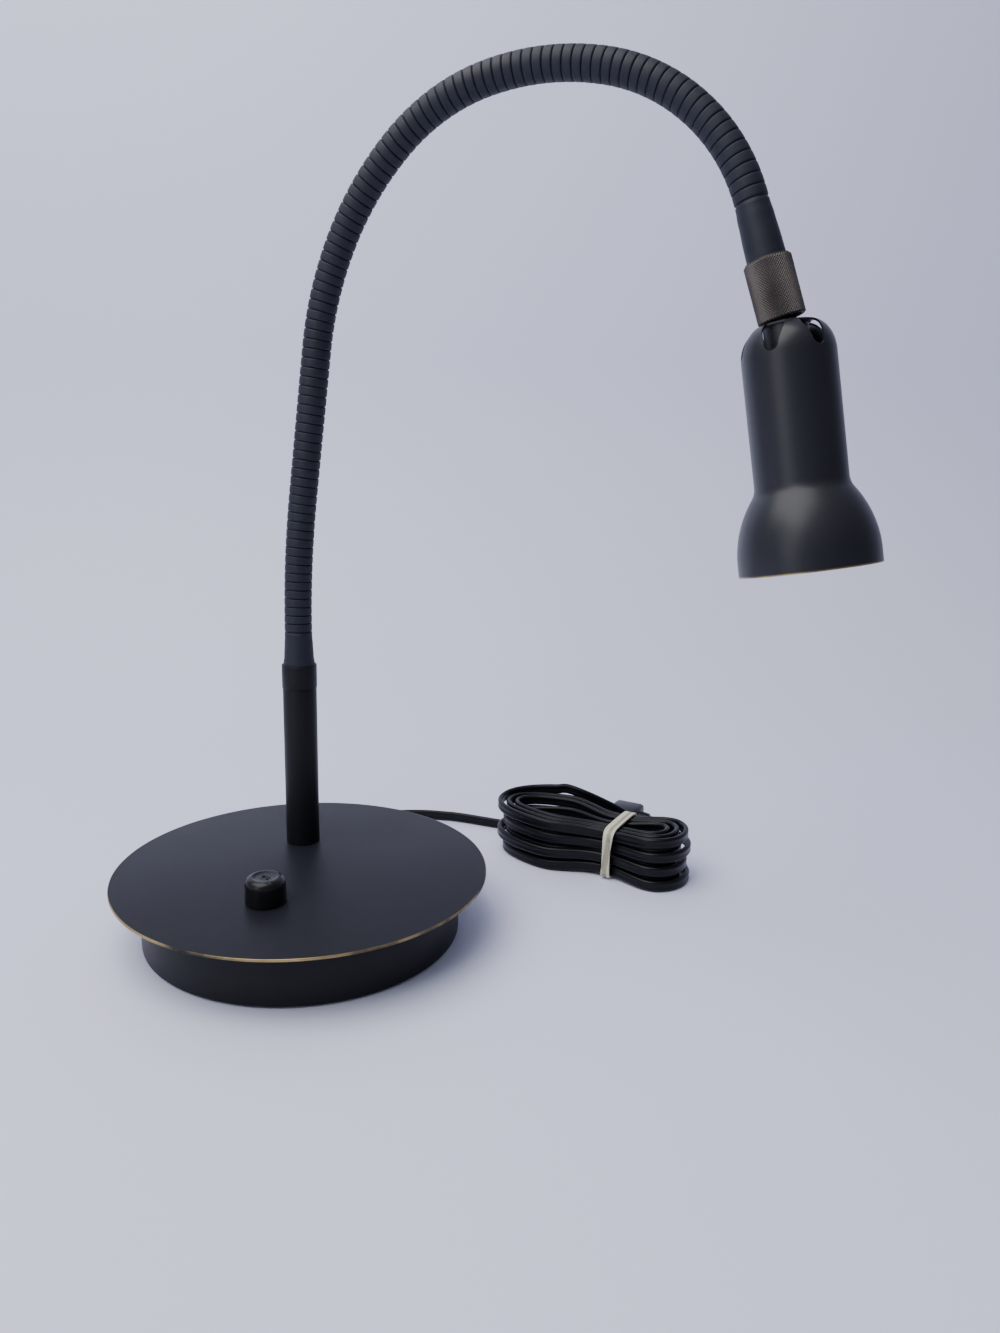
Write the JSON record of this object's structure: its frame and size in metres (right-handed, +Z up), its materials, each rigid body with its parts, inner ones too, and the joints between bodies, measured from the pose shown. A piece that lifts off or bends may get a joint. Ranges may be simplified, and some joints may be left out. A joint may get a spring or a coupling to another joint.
{
  "type": "gooseneck desk lamp",
  "caption": "Desk lamp with a round weighted base, a dimmer knob, a ribbed flexible neck and a small vented metal shade; flat cord bound in a hank.",
  "frame": {"origin": "centre of the base's underside, on the table", "axes": "+Z up; -Y towards the side that the dimmer knob is on; +X towards the side that the shade hangs over"},
  "size_m": [0.318, 0.2389, 0.3713],
  "materials": {
    "plate": "satin blue-black bronze paint, brass showing on the edge",
    "drum": "satin dark bronze paint",
    "iron": "raw cast iron",
    "cover": "black paint",
    "pad": "matte black rubber",
    "screws": "zinc plated steel",
    "windings": "lacquered copper windings",
    "terminals": "cream nylon",
    "wires": "insulated wires",
    "dimmer": "dark plastic case with a brass bush",
    "nuts": "turned brass",
    "knob": "glossy black",
    "shaft": "turned steel",
    "stem": "satin blue-black paint",
    "nipple": "threaded brass",
    "core": "steel",
    "sleeve": "blue-black ribbed rubber",
    "lead": "two-core lead",
    "collar": "worn dark bronze, diamond knurl",
    "shade": "satin blue-black bronze paint, brass lip",
    "ceramic": "unglazed white ceramic",
    "mirror": "dichroic mirror glass",
    "capsule": "clear quartz",
    "glass": "clear cover glass",
    "clip": "spring wire",
    "cord": "black two-core flat cord",
    "band": "cream rubber band",
    "plug": "moulded black plug"
  },
  "bodies": {
    "base": {"base_plate": "plate", "base_drum": "drum", "ballast_ring": "iron", "bottom_cover": "cover", "foot_pad": "pad", "cover_screws": "screws", "transformer": "windings", "terminal_block": "terminals", "base_wires": "wires", "dimmer_case": "dimmer", "panel_nuts": "nuts", "stem_tube": "stem", "stem_collar": "stem", "stem_nipple": "nipple", "neck_socket": "core", "lower_ferrule": "sleeve", "cord_grommet": "cord", "cord_run": "cord", "cord_hank": "cord", "cord_band": "band", "plug_body": "plug", "plug_pins": "nipple"},
    "knob": {"knob": "knob", "dimmer_shaft": "shaft"},
    "link_1": {"sleeve_1": "sleeve", "core_1": "core", "lead_1": "lead"},
    "link_2": {"sleeve_2": "sleeve", "core_2": "core", "lead_2": "lead"},
    "link_3": {"sleeve_3": "sleeve", "core_3": "core", "lead_3": "lead"},
    "link_4": {"sleeve_4": "sleeve", "core_4": "core", "lead_4": "lead"},
    "link_5": {"sleeve_5": "sleeve", "core_5": "core", "lead_5": "lead"},
    "link_6": {"sleeve_6": "sleeve", "core_6": "core", "lead_6": "lead"},
    "link_7": {"sleeve_7": "sleeve", "core_7": "core", "lead_7": "lead"},
    "link_8": {"sleeve_8": "sleeve", "core_8": "core", "lead_8": "lead"},
    "head": {"upper_ferrule": "sleeve", "head_spigot": "core", "knurled_collar": "collar", "lead_head": "lead"},
    "lamp_head": {"shade": "shade", "holder_cup": "clip", "lamp_holder": "ceramic", "reflector": "mirror", "capsule": "capsule", "front_glass": "glass", "retaining_clip": "clip"}
  },
  "joints": [
    {"name": "neck_lean_low", "type": "hinge", "parent": "base", "child": "link_1", "pos_m": [-0.0064, 0.0323, 0.1345], "axis": [0.342, 0.9397, 0], "range_deg": [-18, 10], "deforming": ["sleeve_1"]},
    {"name": "neck_sideways", "type": "hinge", "parent": "link_1", "child": "link_2", "pos_m": [-0.00247, 0.03087, 0.19832], "axis": [0.9317, -0.3391, -0.1305], "range_deg": [-30, 30], "deforming": ["sleeve_2"]},
    {"name": "neck_lean", "type": "hinge", "parent": "link_2", "child": "link_3", "pos_m": [0.00538, 0.02801, 0.26177], "axis": [0.342, 0.9397, 0], "range_deg": [-18, 10], "deforming": ["sleeve_3"]},
    {"name": "neck_arch_1", "type": "hinge", "parent": "link_3", "child": "link_4", "pos_m": [0.01851, 0.02323, 0.30746], "axis": [0.342, 0.9397, 0], "range_deg": [-18.2, 5.6], "deforming": ["sleeve_4"]},
    {"name": "neck_arch_2", "type": "hinge", "parent": "link_4", "child": "link_5", "pos_m": [0.04311, 0.01428, 0.34253], "axis": [0.342, 0.9397, 0], "range_deg": [-23.4, 7.2], "deforming": ["sleeve_5"]},
    {"name": "neck_arch", "type": "hinge", "parent": "link_5", "child": "link_6", "pos_m": [0.07928, 0.00112, 0.36278], "axis": [0.342, 0.9397, 0], "range_deg": [-26, 8], "deforming": ["sleeve_6"]},
    {"name": "neck_arch_4", "type": "hinge", "parent": "link_6", "child": "link_7", "pos_m": [0.12402, -0.01517, 0.36278], "axis": [0.342, 0.9397, 0], "range_deg": [-28.6, 8.8], "deforming": ["sleeve_7"]},
    {"name": "neck_arch_5", "type": "hinge", "parent": "link_7", "child": "link_8", "pos_m": [0.16259, -0.02921, 0.33932], "axis": [0.342, 0.9397, 0], "range_deg": [-31.2, 9.6], "deforming": ["sleeve_8"]},
    {"name": "head_sideways", "type": "hinge", "parent": "link_8", "child": "head", "pos_m": [0.17797, -0.0348, 0.31209], "axis": [-0.8885, 0.3234, -0.3256], "range_deg": [-25, 25]},
    {"name": "shade_swivel", "type": "hinge", "parent": "head", "child": "lamp_head", "pos_m": [0.19333, -0.04039, 0.26462], "axis": [-0.0157, 0.9924, -0.122], "range_deg": [-18, 0]},
    {"name": "knob_turn", "type": "hinge", "parent": "base", "child": "knob", "pos_m": [-0.009, -0.036, 0.0292], "axis": [0, 0, 1], "range_deg": [-135, 135]}
  ],
  "couplings": [
    {"joint": "neck_lean_low", "follows": "neck_lean", "ratio": 1},
    {"joint": "neck_arch_1", "follows": "neck_arch", "ratio": 0.7},
    {"joint": "neck_arch_2", "follows": "neck_arch", "ratio": 0.9},
    {"joint": "neck_arch_4", "follows": "neck_arch", "ratio": 1.1},
    {"joint": "neck_arch_5", "follows": "neck_arch", "ratio": 1.2}
  ]
}
